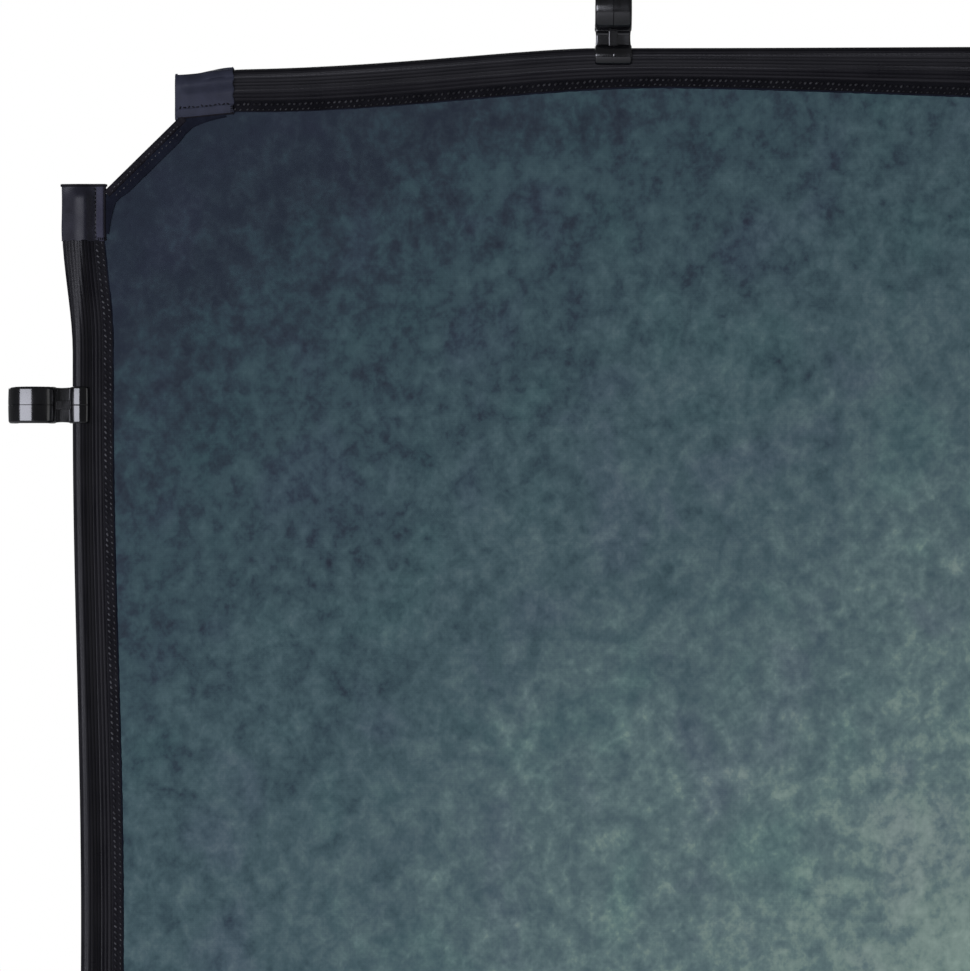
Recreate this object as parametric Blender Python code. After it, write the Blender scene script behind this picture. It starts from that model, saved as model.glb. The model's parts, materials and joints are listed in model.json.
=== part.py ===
"""Collapsible backdrop panel: a printed sheet kept taut by rods in elastic sleeves.

The panel lies in the XZ plane, its print facing -Y. The origin is on the axis of the top
centre clip's large jaw, where the panel hangs on the tube of its stand frame. Two fold
lines across the panel part it into an upper, a middle and a lower third, which fold into
a Z. Each clip grips a sleeve with its small jaw and turns on it toward the panel's back.
"""

import math

import bmesh
import bpy
from mathutils import Vector

# the panel, between the outer lines of its sleeves
PANEL_WIDTH = 2.0
PANEL_HEIGHT = 2.3
FOLD_LINES = (PANEL_HEIGHT / 3, PANEL_HEIGHT * 2 / 3)
FOLD_RADII = (0.008, 0.026)
FABRIC_THICKNESS = 0.0012
GAP = 0.0003

# the elastic sleeve: a round tunnel for the rod and a flat web sewn to the fabric
TUNNEL_RADIUS = 0.0037
BULGE_RADIUS = 0.00435
WEB_THICKNESS = 0.002
SECTION_POINTS = 12

# rods, and the short tubes that line up their ends
ROD_RADIUS = 0.0025
ROD_SIDES = 8
JOINT_INNER_RADIUS = 0.0028
JOINT_OUTER_RADIUS = 0.00325
JOINT_SIDES = 10
JOINT_GRIP = 0.025
FERRULE_HALF_LENGTH = 0.03

# end pockets, sewn over the ends of the sleeves
POCKET_DEPTH = 0.0268
POCKET_BULGE = 0.0054
POCKET_WEB = 0.003
POCKET_FLOOR = 0.004
SIDE_POCKET = (0.0813, 0.1155)
TOP_POCKET = (0.0612, 0.0966)

# the corner, cut off at 45 degrees between the two pockets and bound with tape
CORNER_CUT = ((0.0209, 0.0838), (0.0618, 0.0436))
BINDING_WIDTH = 0.0045
BINDING_THICKNESS = 0.0026

# clips: a small jaw on the sleeve and a large one for a 22 mm frame tube
CLIP_WIDTH = 0.022
JAW_REACH = 0.0282
SMALL_JAW = (0.00465, 0.0063)
SMALL_JAW_ARC = (206, 437)
LARGE_JAW = (0.0112, 0.0147)
LARGE_JAW_ARC = (142, 398)
NECK_HALF_THICKNESS = 0.0016
RIB_HALF_THICKNESS = 0.0046
RIB_WIDTH = 0.0054
SIDE_CLIPS = (0.214, 0.838, 1.462, 2.086)
TOP_CLIPS = (0.324, 1.0, 1.676)

TOP = BULGE_RADIUS - JAW_REACH
BOTTOM = TOP - PANEL_HEIGHT


def smooth(t):
    """0 up to t = 0, 1 from t = 1 on, and an even rise between."""
    t = min(max(t, 0.0), 1.0)
    return t * t * (3 - 2 * t)


def early_rise(t):
    """As smooth, but rising sooner."""
    t = min(max(t, 0.0), 1.0)
    return t ** 1.5 * (2.5 - 1.5 * t)


class Edge:
    """One side of the panel, measured along it from a corner and inward from its line."""

    def __init__(self, start, along, inward, length, clips):
        self.start = Vector(start)
        self.along = Vector(along)
        self.inward = Vector(inward)
        self.length = length
        self.clips = clips

    def point(self, along, inset, y=0.0):
        return self.start + self.along * along + self.inward * inset + Vector((0, y, 0))

    def from_end(self, along):
        return min(along, self.length - along)

    def bow(self, along):
        """1 midway between two clips and 0 at a clip, where the frame holds the edge."""
        for near, far in zip(self.clips, self.clips[1:]):
            if near < along < far:
                return math.sin(math.pi * (along - near) / (far - near)) ** 2
        return 0.0


class UprightEdge(Edge):
    """The left or right side, which bows in between clips and flares at its pockets."""

    pocket = SIDE_POCKET

    def rod(self, along):
        return BULGE_RADIUS + 0.005 * self.bow(along)

    def outer(self, along):
        flare = 0.0066 * smooth((0.183 - self.from_end(along)) / 0.078)
        return self.rod(along) - BULGE_RADIUS - flare

    def seam(self, along):
        narrowed = 0.0054 * smooth((0.175 - self.from_end(along)) / 0.07)
        return 0.024 + 0.006 * self.bow(along) - narrowed


class LevelEdge(Edge):
    """The top or bottom, which the sheet pulls in beyond the last clip."""

    pocket = TOP_POCKET

    def rod(self, along):
        end = self.from_end(along)
        pulled = 0.0128 * early_rise((0.312 - end) / 0.228)
        pulled += 0.0035 * smooth((0.105 - end) / 0.05)
        return BULGE_RADIUS + pulled - 0.001 * self.bow(along)

    def outer(self, along):
        return self.rod(along) - BULGE_RADIUS

    def seam(self, along):
        pulled = 0.015 * smooth((0.36 - self.from_end(along)) / 0.25)
        return 0.0231 + pulled + 0.008 * self.bow(along)


def panel_edges():
    half = PANEL_WIDTH / 2
    return {
        "left": UprightEdge((-half, 0, TOP), (0, 0, -1), (1, 0, 0), PANEL_HEIGHT, SIDE_CLIPS),
        "right": UprightEdge((half, 0, TOP), (0, 0, -1), (-1, 0, 0), PANEL_HEIGHT, SIDE_CLIPS),
        "top": LevelEdge((-half, 0, TOP), (1, 0, 0), (0, 0, -1), PANEL_WIDTH, TOP_CLIPS),
        "bottom": LevelEdge((-half, 0, BOTTOM), (1, 0, 0), (0, 0, 1), PANEL_WIDTH, TOP_CLIPS),
    }


def clear_scene():
    for thing in list(bpy.data.objects):
        bpy.data.objects.remove(thing)


def material(name, colour, roughness, metallic=0.0):
    made = bpy.data.materials.new(name)
    made.use_nodes = True
    shader = made.node_tree.nodes["Principled BSDF"]
    shader.inputs["Base Color"].default_value = (*colour, 1)
    shader.inputs["Roughness"].default_value = roughness
    shader.inputs["Metallic"].default_value = metallic
    return made


def panel_materials():
    return {
        "print": material("printed_fabric", (0.055, 0.085, 0.1), 0.8),
        "elastic": material("elastic_webbing", (0.012, 0.012, 0.014), 0.75),
        "tape": material("pocket_tape", (0.024, 0.024, 0.032), 0.6),
        "binding": material("binding_tape", (0.011, 0.01, 0.013), 0.8),
        "clip": material("clip_plastic", (0.008, 0.008, 0.01), 0.2),
        "rod": material("rod_fibreglass", (0.75, 0.74, 0.68), 0.4),
        "ferrule": material("ferrule_brass", (0.7, 0.52, 0.25), 0.35, 1.0),
        "rubber": material("joint_rubber", (0.02, 0.02, 0.02), 0.7),
    }


def add_object(name, mesh, finish, round_piece=True):
    mesh.materials.append(finish)
    if round_piece:
        mesh.shade_smooth()
        mesh.set_sharp_from_angle(angle=math.radians(35))
    thing = bpy.data.objects.new(name, mesh)
    bpy.context.scene.collection.objects.link(thing)
    return thing


def closed_mesh(name, shape):
    bmesh.ops.recalc_face_normals(shape, faces=shape.faces)
    mesh = bpy.data.meshes.new(name)
    shape.to_mesh(mesh)
    shape.free()
    return mesh


def add_walls(shape, rings):
    """A band of four-sided faces between each ring of vertices and the next."""
    for near, far in zip(rings, rings[1:]):
        for i in range(len(near)):
            j = (i + 1) % len(near)
            shape.faces.new((near[i], near[j], far[j], far[i]))


def hollow_mesh(name, outer_loops, inner_loops, blind=False):
    """A tube whose hollow runs right through, or is closed near its first end."""
    shape = bmesh.new()
    outer = [[shape.verts.new(p) for p in loop] for loop in outer_loops]
    inner = [[shape.verts.new(p) for p in loop] for loop in inner_loops]
    add_walls(shape, outer)
    add_walls(shape, inner)
    add_walls(shape, [outer[-1], inner[-1]])
    if blind:
        shape.faces.new(outer[0])
        shape.faces.new(inner[0])
    else:
        add_walls(shape, [outer[0], inner[0]])
    return closed_mesh(name, shape)


def plate_mesh(name, outline, thickness, direction=Vector((0, 1, 0))):
    """A flat outline thickened evenly to both sides of its plane."""
    shape = bmesh.new()
    face = shape.faces.new([shape.verts.new(p - direction * thickness / 2) for p in outline])
    grown = bmesh.ops.extrude_face_region(shape, geom=[face])["geom"]
    moved = [part for part in grown if isinstance(part, bmesh.types.BMVert)]
    bmesh.ops.translate(shape, verts=moved, vec=direction * thickness)
    return closed_mesh(name, shape)


def spaced(first, last, pitch):
    steps = max(1, round((last - first) / pitch))
    return [first + (last - first) * i / steps for i in range(steps + 1)]


def stations(edge, first, last):
    """Places along an edge between first and last, closer together near its ends."""
    reach = 0.34 if isinstance(edge, LevelEdge) else 0.2
    near = min(max(first, reach), last)
    far = max(min(last, edge.length - reach), near)
    places = spaced(first, near, 0.035) + spaced(near, far, 0.09) + spaced(far, last, 0.035)
    kept = [places[0]]
    for place in places[1:]:
        if place - kept[-1] > 0.001:
            kept.append(place)
    return kept


def circle(edge, along, radius, sides):
    turn = 2 * math.pi / sides
    centre = edge.rod(along)
    return [
        edge.point(along, centre + radius * math.cos(i * turn), radius * math.sin(i * turn))
        for i in range(sides)
    ]


def section_angles(web, bulge):
    """Angles round the bulge, from one face of the web to the other."""
    first = math.asin(web / 2 / bulge)
    last = 2 * math.pi - first
    count = SECTION_POINTS - 2
    return [first + (last - first) * i / (count - 1) for i in range(count)]


def sleeve_loop(edge, along, inner, bulge=BULGE_RADIUS, web=WEB_THICKNESS, spread=0.0):
    """The sleeve's outside: a bulge round the rod, and a web to its inner edge."""
    centre = edge.rod(along)
    outward = centre - edge.outer(along) + spread
    points = []
    for angle in section_angles(web, bulge):
        across = math.cos(angle) * (outward if math.cos(angle) < 0 else bulge)
        points.append(edge.point(along, centre + across, bulge * math.sin(angle)))
    points.append(edge.point(along, inner, -web / 2))
    points.append(edge.point(along, inner, web / 2))
    return points


def tunnel_loop(edge, along, bulge=BULGE_RADIUS, web=WEB_THICKNESS):
    """The tunnel's wall, with as many points as the loop round it."""
    centre = edge.rod(along)
    angles = section_angles(web, bulge)
    third = angles[0] / 3
    angles += [-third, third]
    return [
        edge.point(along, centre + TUNNEL_RADIUS * math.cos(a), TUNNEL_RADIUS * math.sin(a))
        for a in angles
    ]


def add_sleeve(name, edge, first, last, finish):
    places = stations(edge, first, last)
    outer = [sleeve_loop(edge, s, edge.seam(s)) for s in places]
    inner = [tunnel_loop(edge, s) for s in places]
    add_object(name, hollow_mesh(name, outer, inner), finish)


def add_pocket(name, edge, at_far_end, finish):
    """A flat pocket that takes a rod's end, closed toward the corner."""
    first, last = edge.pocket
    places = [first, first + POCKET_FLOOR, (first + last) / 2, last]
    if at_far_end:
        places = [edge.length - s for s in places]
    outer = [
        sleeve_loop(edge, s, edge.outer(s) + POCKET_DEPTH, POCKET_BULGE, POCKET_WEB, 0.0006)
        for s in places
    ]
    inner = [tunnel_loop(edge, s, POCKET_BULGE, POCKET_WEB) for s in places[1:]]
    add_object(name, hollow_mesh(name, outer, inner, blind=True), finish)


def add_rod(name, edge, first, last, finish):
    curve = bpy.data.curves.new(name, "CURVE")
    curve.dimensions = "3D"
    curve.bevel_depth = ROD_RADIUS
    curve.bevel_resolution = ROD_SIDES // 2 - 2
    curve.use_fill_caps = True
    curve.materials.append(finish)
    places = stations(edge, first, last)
    spline = curve.splines.new("POLY")
    spline.points.add(len(places) - 1)
    spline.use_smooth = True
    for point, place in zip(spline.points, places):
        point.co = (*edge.point(place, edge.rod(place)), 1)
    rod = bpy.data.objects.new(name, curve)
    bpy.context.scene.collection.objects.link(rod)


def add_joint_tube(name, edge, middle, half_length, finish):
    """A tube round the ends of two rods, following the line they lie on."""
    places = spaced(middle - half_length, middle + half_length, 0.03)
    outer = [circle(edge, s, JOINT_OUTER_RADIUS, JOINT_SIDES) for s in places]
    inner = [circle(edge, s, JOINT_INNER_RADIUS, JOINT_SIDES) for s in places]
    add_object(name, hollow_mesh(name, outer, inner), finish)


def inward_shift(offset):
    """How far a line along the corner cut moves right and down for an inward offset."""
    (x0, d0), (x1, d1) = CORNER_CUT
    length = math.hypot(x1 - x0, d1 - d0)
    return offset * (d0 - d1) / length, offset * (x1 - x0) / length


def corner_line(offset):
    """The corner cut's two ends, moved inward: distances from the side and from the top."""
    shift_x, shift_d = inward_shift(offset)
    return [(x + shift_x, d + shift_d) for x, d in CORNER_CUT]


def corner_point(right, low, x, depth):
    """A world point at a distance from the nearer side and from the nearer level edge."""
    world_x = PANEL_WIDTH / 2 - x if right else x - PANEL_WIDTH / 2
    world_z = BOTTOM + depth if low else TOP - depth
    return Vector((world_x, 0, world_z))


def add_binding(name, right, low, finish):
    outside = corner_line(0)
    inside = corner_line(BINDING_WIDTH)
    outline = [corner_point(right, low, *p) for p in (*outside, *reversed(inside))]
    add_object(name, plate_mesh(name, outline, BINDING_THICKNESS), finish, round_piece=False)


def fabric_corner(edges):
    """The sheet's edge past the two pockets and along the corner binding."""
    side = edges["left"]
    level = edges["top"]
    side_end = side.pocket[1]
    level_end = level.pocket[1]
    side_edge = side.outer(side_end) + POCKET_DEPTH + GAP
    level_edge = level.outer(level_end) + POCKET_DEPTH + GAP
    cut = corner_line(BINDING_WIDTH + GAP)
    along_cut = cut[0][1] + cut[0][0] - side_edge
    return [(side_edge, side_end), (side_edge, along_cut), cut[1], (level_end, level_edge)]


def end_third_outline(edges, low):
    """The outline of the upper third, or of the lower one, its mirror image."""
    side = edges["left"]
    level = edges["top"]
    side_places = stations(side, side.pocket[1] + GAP, FOLD_LINES[0] - GAP / 2)[1:]
    level_first = level.pocket[1] + GAP
    level_places = stations(level, level_first, level.length - level_first)[1:-1]
    half = [(side.seam(s) + GAP, s) for s in reversed(side_places)]
    half += fabric_corner(edges)
    left = [corner_point(False, low, *p) for p in half]
    middle = [corner_point(False, low, s, level.seam(s) + GAP) for s in level_places]
    right = [corner_point(True, low, *p) for p in reversed(half)]
    return left + middle + right


def middle_third_outline(edges):
    places = stations(edges["left"], FOLD_LINES[0] + GAP / 2, FOLD_LINES[1] - GAP / 2)
    left = [edges["left"].point(s, edges["left"].seam(s) + GAP) for s in places]
    right = [edges["right"].point(s, edges["right"].seam(s) + GAP) for s in reversed(places)]
    return left + right


def arc(centre_x, radius, first, last, steps):
    """Points on a circle round (centre_x, 0), from one angle in degrees to another."""
    angles = [math.radians(first + (last - first) * i / steps) for i in range(steps + 1)]
    return [(centre_x + radius * math.cos(a), radius * math.sin(a)) for a in angles]


def rounded_lip(centre_x, radii, angle, turn):
    """The middle of a rounded lip between a jaw's inside and outside, past its angle."""
    middle = sum(radii) / 2
    past = math.radians(angle) + turn * (radii[1] - radii[0]) / 2 / middle
    return (centre_x + middle * math.cos(past), middle * math.sin(past))


def clip_outline():
    """Both jaws and the thin neck between them, as one closed line."""
    small_neck = math.degrees(math.asin(NECK_HALF_THICKNESS / SMALL_JAW[1]))
    large_neck = math.degrees(math.asin(NECK_HALF_THICKNESS / LARGE_JAW[1]))
    front_lip, back_lip = SMALL_JAW_ARC
    upper_lip, lower_lip = LARGE_JAW_ARC
    outline = arc(0, SMALL_JAW[1], front_lip, 360 - small_neck, 6)
    outline += arc(JAW_REACH, LARGE_JAW[1], 180 + large_neck, lower_lip, 12)
    outline.append(rounded_lip(JAW_REACH, LARGE_JAW, lower_lip, 1))
    outline += arc(JAW_REACH, LARGE_JAW[0], lower_lip, upper_lip, 13)
    outline.append(rounded_lip(JAW_REACH, LARGE_JAW, upper_lip, -1))
    outline += arc(JAW_REACH, LARGE_JAW[1], upper_lip, 180 - large_neck, 2)
    outline += arc(0, SMALL_JAW[1], 360 + small_neck, back_lip, 3)
    outline.append(rounded_lip(0, SMALL_JAW, back_lip, 1))
    outline += arc(0, SMALL_JAW[0], back_lip, front_lip, 11)
    outline.append(rounded_lip(0, SMALL_JAW, front_lip, -1))
    return [Vector((x, y, 0)) for x, y in outline]


def neck_rib_outline():
    """The thick rib in the middle of the neck, let into the backs of both jaws."""
    near = SMALL_JAW[0] + 0.0002
    far = JAW_REACH - LARGE_JAW[0] - 0.0008
    wide = RIB_HALF_THICKNESS
    narrow = wide * 0.75
    corners = ((near, -narrow), (far, -wide), (far, wide), (near, narrow))
    return [Vector((x, y, 0)) for x, y in corners]


def clip_mesh(finish):
    """The clip, its small jaw's axis on local Z and its large jaw toward local X."""
    upright = Vector((0, 0, 1))
    body = add_object("clip_blank", plate_mesh("clip", clip_outline(), CLIP_WIDTH, upright), finish)
    rib_mesh = plate_mesh("rib", neck_rib_outline(), RIB_WIDTH, upright)
    rib = add_object("clip_rib", rib_mesh, finish, round_piece=False)
    rib.hide_render = True
    rib.display_type = "WIRE"
    union = body.modifiers.new("rib", "BOOLEAN")
    union.operation = "UNION"
    union.object = rib
    bpy.context.view_layer.update()
    graph = bpy.context.evaluated_depsgraph_get()
    mesh = bpy.data.meshes.new_from_object(body.evaluated_get(graph))
    mesh.name = "clip"
    bpy.data.objects.remove(body)
    bpy.data.objects.remove(rib)
    return mesh


def add_clips(edges, finish):
    """Every clip has its origin on the axis of the rod that it turns on."""
    mesh = clip_mesh(finish)
    for side, edge in edges.items():
        outward = -edge.inward
        for number, place in enumerate(edge.clips, 1):
            clip = bpy.data.objects.new(f"clip_{side}_{number}", mesh)
            clip.location = edge.point(place, edge.rod(place))
            clip.rotation_euler.y = math.atan2(-outward.z, outward.x)
            bpy.context.scene.collection.objects.link(clip)


def thirds(first, last, gaps):
    """Where the three lengths between two ends start and stop, with a gap at each fold."""
    upper, lower = FOLD_LINES
    return {
        "upper": (first, upper - gaps[0] / 2),
        "middle": (upper + gaps[0] / 2, lower - gaps[1] / 2),
        "lower": (lower + gaps[1] / 2, last),
    }


def add_upright_edge(side, edge, finishes):
    """A side's sleeve and rods in thirds, with flexible tubes that join the rods.

    The gap between two rods is as long as the half turn that the tube bends through.
    """
    first = edge.pocket[1] + GAP
    for third, ends in thirds(first, edge.length - first, (GAP, GAP)).items():
        add_sleeve(f"sleeve_{side}_{third}", edge, *ends, finishes["elastic"])
    rod_end = edge.pocket[0] + POCKET_FLOOR + GAP
    gaps = [math.pi * radius for radius in FOLD_RADII]
    for third, ends in thirds(rod_end, edge.length - rod_end, gaps).items():
        add_rod(f"rod_{side}_{third}", edge, *ends, finishes["rod"])
    for third, fold, gap in zip(("upper", "lower"), FOLD_LINES, gaps):
        name = f"joint_tube_{side}_{third}"
        add_joint_tube(name, edge, fold, gap / 2 + JOINT_GRIP, finishes["rubber"])


def add_level_edge(side, edge, finishes):
    """The top or bottom sleeve, and its two rods joined by a ferrule."""
    first = edge.pocket[1] + GAP
    rod_end = edge.pocket[0] + POCKET_FLOOR + GAP
    middle = edge.length / 2
    add_sleeve(f"sleeve_{side}", edge, first, edge.length - first, finishes["elastic"])
    add_rod(f"rod_{side}_left", edge, rod_end, middle - GAP, finishes["rod"])
    add_rod(f"rod_{side}_right", edge, middle + GAP, edge.length - rod_end, finishes["rod"])
    add_joint_tube(f"ferrule_{side}", edge, middle, FERRULE_HALF_LENGTH, finishes["ferrule"])


def add_corners(edges, finishes):
    for low, level in enumerate(("top", "bottom")):
        for right, side in enumerate(("left", "right")):
            add_binding(f"corner_binding_{level}_{side}", right, low, finishes["binding"])
            add_pocket(f"pocket_{level}_{side}", edges[level], right, finishes["tape"])
            add_pocket(f"pocket_{side}_{level}", edges[side], low, finishes["tape"])


def add_fabric(edges, finish):
    outlines = {
        "fabric_upper": end_third_outline(edges, low=False),
        "fabric_middle": middle_third_outline(edges),
        "fabric_lower": end_third_outline(edges, low=True),
    }
    for name, outline in outlines.items():
        add_object(name, plate_mesh(name, outline, FABRIC_THICKNESS), finish, round_piece=False)


def main():
    clear_scene()
    edges = panel_edges()
    finishes = panel_materials()
    add_fabric(edges, finishes["print"])
    add_corners(edges, finishes)
    for side in ("left", "right"):
        add_upright_edge(side, edges[side], finishes)
    for side in ("top", "bottom"):
        add_level_edge(side, edges[side], finishes)
    add_clips(edges, finishes["clip"])


main()
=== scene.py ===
"""Looks of the collapsible backdrop panel: its cloth, webbing, thread and moulded clips.

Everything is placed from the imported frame: the clips' joints give the rods' axes, and
with them the outer lines of the sleeves, and the fold joints give the fold lines.
"""

import json
import math

import bmesh
import bpy
import numpy as np
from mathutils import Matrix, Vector


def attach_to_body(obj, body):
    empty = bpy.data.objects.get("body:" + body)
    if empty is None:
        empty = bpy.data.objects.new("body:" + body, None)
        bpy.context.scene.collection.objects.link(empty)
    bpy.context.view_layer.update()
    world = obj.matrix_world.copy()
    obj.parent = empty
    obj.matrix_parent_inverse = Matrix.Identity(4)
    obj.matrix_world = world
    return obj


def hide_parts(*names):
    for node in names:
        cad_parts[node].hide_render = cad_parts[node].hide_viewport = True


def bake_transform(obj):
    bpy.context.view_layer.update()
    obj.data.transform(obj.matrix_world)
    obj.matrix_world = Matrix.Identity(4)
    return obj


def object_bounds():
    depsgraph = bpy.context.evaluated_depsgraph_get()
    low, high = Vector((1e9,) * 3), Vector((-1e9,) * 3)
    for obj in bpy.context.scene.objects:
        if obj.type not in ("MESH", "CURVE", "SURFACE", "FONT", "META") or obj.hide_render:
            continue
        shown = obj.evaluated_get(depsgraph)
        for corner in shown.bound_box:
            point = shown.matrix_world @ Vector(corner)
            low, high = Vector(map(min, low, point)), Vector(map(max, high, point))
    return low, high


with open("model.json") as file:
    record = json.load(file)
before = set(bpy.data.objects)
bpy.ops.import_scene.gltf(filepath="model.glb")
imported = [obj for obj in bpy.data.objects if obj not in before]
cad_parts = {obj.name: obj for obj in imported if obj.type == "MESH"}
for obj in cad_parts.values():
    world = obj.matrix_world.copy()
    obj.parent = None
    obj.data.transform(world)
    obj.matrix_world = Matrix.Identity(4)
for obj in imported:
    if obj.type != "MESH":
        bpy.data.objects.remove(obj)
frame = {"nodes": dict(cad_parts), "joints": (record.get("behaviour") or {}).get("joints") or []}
CAD_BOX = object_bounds()
JOINTS = {joint["name"]: joint for joint in frame["joints"]}

# the sleeve's section and the sheet between the sleeves
BULGE = 0.00435
WEB = 0.0020
SLOPE = 0.0092
ROUND_TOP = 0.0026
FULL_FLARE = 0.0066
SLEEVE_LEAN = 0.0019
SHEET = 0.0009
SHEET_TUCK = 0.003
RIB_DEPTH = 0.00026
FRONT_RIBS = 13
FRONT_SAMPLES = FRONT_RIBS * 5 + 1
FRONT_LENGTH = 0.0287
SEAM_BAND = 0.0062
FLAT_BAND = 0.0125

# pockets and corner tape
SIDE_POCKET = (0.0813, 0.1155)
LEVEL_POCKET = (0.0612, 0.0966)
POCKET_DEPTH = 0.0268
POCKET_LAP = 0.005
CORNER_CUT = ((0.0209, 0.0838), (0.0618, 0.0436))
BINDING = 0.0045

# how far apart the rings of a long piece are, and how much closer near a fold
SLEEVE_PITCH = 0.008
PIPING_PITCH = 0.004
FOLD_PITCH = 0.0025
FOLD_REACH = 0.05


def joint_point(name):
    return Vector(JOINTS[name]["pos_m"])


HALF_WIDTH = BULGE - joint_point("clip_left_1_swivel").x
TOP = joint_point("clip_top_2_swivel").z + BULGE
BOTTOM = joint_point("clip_bottom_2_swivel").z - BULGE
WIDTH = 2 * HALF_WIDTH
HEIGHT = TOP - BOTTOM
FOLDS = [TOP - joint_point(name).z for name in ("upper_fold", "lower_fold")]
FOLD_RADII = [abs(joint_point(name).y) for name in ("upper_fold", "lower_fold")]
MIDDLE = HEIGHT / 2
SIDE_CLIPS = [TOP - joint_point(f"clip_left_{n}_swivel").z for n in range(1, 5)]
LEVEL_CLIPS = [joint_point(f"clip_top_{n}_swivel").x + HALF_WIDTH for n in range(1, 4)]
UPPER, CENTRE, LOWER = "upper_panel", "middle_panel", "lower_panel"


# ---------------------------------------------------------------- the panel's edges


def smooth(t):
    t = np.clip(t, 0.0, 1.0)
    return t * t * (3 - 2 * t)


def early_rise(t):
    t = np.clip(t, 0.0, 1.0)
    return t ** 1.5 * (2.5 - 1.5 * t)


class Edge:
    """One side of the panel, measured along it from a corner and inward from its line."""

    def __init__(self, start, along, inward, length, clips):
        self.start = np.array(start, float)
        self.along = np.array(along, float)
        self.inward = np.array(inward, float)
        self.length = length
        self.clips = clips

    def points(self, along, inset, y):
        along, inset, y = np.broadcast_arrays(along, inset, y)
        back = np.array((0.0, 1.0, 0.0))
        return (
            self.start
            + along[..., None] * self.along
            + inset[..., None] * self.inward
            + y[..., None] * back
        )

    def from_end(self, along):
        return np.minimum(along, self.length - along)

    def bow(self, along):
        along = np.asarray(along, float)
        total = np.zeros_like(along)
        for near, far in zip(self.clips, self.clips[1:]):
            share = np.clip((along - near) / (far - near), 0, 1)
            total = total + np.sin(math.pi * share) ** 2
        return total


class UprightEdge(Edge):
    upright = True
    pocket = SIDE_POCKET
    mouth_flare = 0.0003

    def rod(self, along):
        return BULGE + 0.005 * self.bow(along)

    def outer(self, along):
        flare = FULL_FLARE * smooth((0.183 - self.from_end(along)) / 0.078)
        return self.rod(along) - BULGE - flare

    def seam(self, along):
        narrowed = 0.0054 * smooth((0.175 - self.from_end(along)) / 0.07)
        return 0.024 + 0.006 * self.bow(along) - narrowed


class LevelEdge(Edge):
    upright = False
    pocket = LEVEL_POCKET
    mouth_flare = 0.0016

    def rod(self, along):
        end = self.from_end(along)
        pulled = 0.0128 * early_rise((0.312 - end) / 0.228)
        pulled = pulled + 0.0035 * smooth((0.105 - end) / 0.05)
        return BULGE + pulled - 0.001 * self.bow(along)

    def outer(self, along):
        return self.rod(along) - BULGE

    def seam(self, along):
        pulled = 0.015 * smooth((0.36 - self.from_end(along)) / 0.25)
        return 0.0231 + pulled + 0.008 * self.bow(along)


EDGES = {
    "left": UprightEdge((-HALF_WIDTH, 0, TOP), (0, 0, -1), (1, 0, 0), HEIGHT, SIDE_CLIPS),
    "right": UprightEdge((HALF_WIDTH, 0, TOP), (0, 0, -1), (-1, 0, 0), HEIGHT, SIDE_CLIPS),
    "top": LevelEdge((-HALF_WIDTH, 0, TOP), (1, 0, 0), (0, 0, -1), WIDTH, LEVEL_CLIPS),
    "bottom": LevelEdge((-HALF_WIDTH, 0, BOTTOM), (1, 0, 0), (0, 0, 1), WIDTH, LEVEL_CLIPS),
}


# ---------------------------------------------------------------- meshes


def make_mesh(name, points, faces, uv=None, materials=(), indices=None, sharp=None):
    """A smooth-shaded mesh from points and faces, put into the scene."""
    mesh = bpy.data.meshes.new(name)
    mesh.from_pydata([tuple(p) for p in points], [], [tuple(f) for f in faces])
    if uv is not None:
        layer = mesh.uv_layers.new(name="cloth")
        corners = np.zeros(len(mesh.loops), np.int32)
        mesh.loops.foreach_get("vertex_index", corners)
        layer.data.foreach_set("uv", np.asarray(uv, np.float32)[corners].ravel())
    for material in materials:
        mesh.materials.append(material)
    if indices is not None:
        mesh.polygons.foreach_set("material_index", np.asarray(indices, np.int32))
    mesh.shade_smooth()
    if sharp is not None:
        mesh.set_sharp_from_angle(angle=math.radians(sharp))
    thing = bpy.data.objects.new(name, mesh)
    bpy.context.scene.collection.objects.link(thing)
    return thing


def loft_faces(rows, columns, closed=True, start=0):
    """Faces between each row of points and the next, each row a ring if closed."""
    i = np.arange(rows - 1)[:, None]
    j = np.arange(columns if closed else columns - 1)[None, :]
    k = (j + 1) % columns
    corners = np.stack(np.broadcast_arrays(i * columns + j, i * columns + k,
                                           (i + 1) * columns + k, (i + 1) * columns + j), -1)
    return (corners.reshape(-1, 4) + start).tolist()


def capped_loft(rings):
    """Faces of a closed tube through these rings, with one over each end."""
    rows, columns = len(rings), len(rings[0])
    ends = [range(columns), range((rows - 1) * columns, rows * columns)]
    return loft_faces(rows, columns) + [list(end) for end in ends]


def facing_out(thing):
    """Turns the faces of a closed mesh outward."""
    shape = bmesh.new()
    shape.from_mesh(thing.data)
    bmesh.ops.recalc_face_normals(shape, faces=shape.faces)
    shape.to_mesh(thing.data)
    shape.free()
    return thing


def add_bound_tube(name, rings, look, sharp):
    """A closed piece of tape or cord through these rings."""
    thing = make_mesh(name, np.concatenate(rings), capped_loft(rings), None, [look], sharp=sharp)
    return facing_out(thing)


def even_steps(first, last, pitch):
    return np.linspace(first, last, max(2, int(round((last - first) / pitch)) + 1))


# ---------------------------------------------------------------- materials


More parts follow.
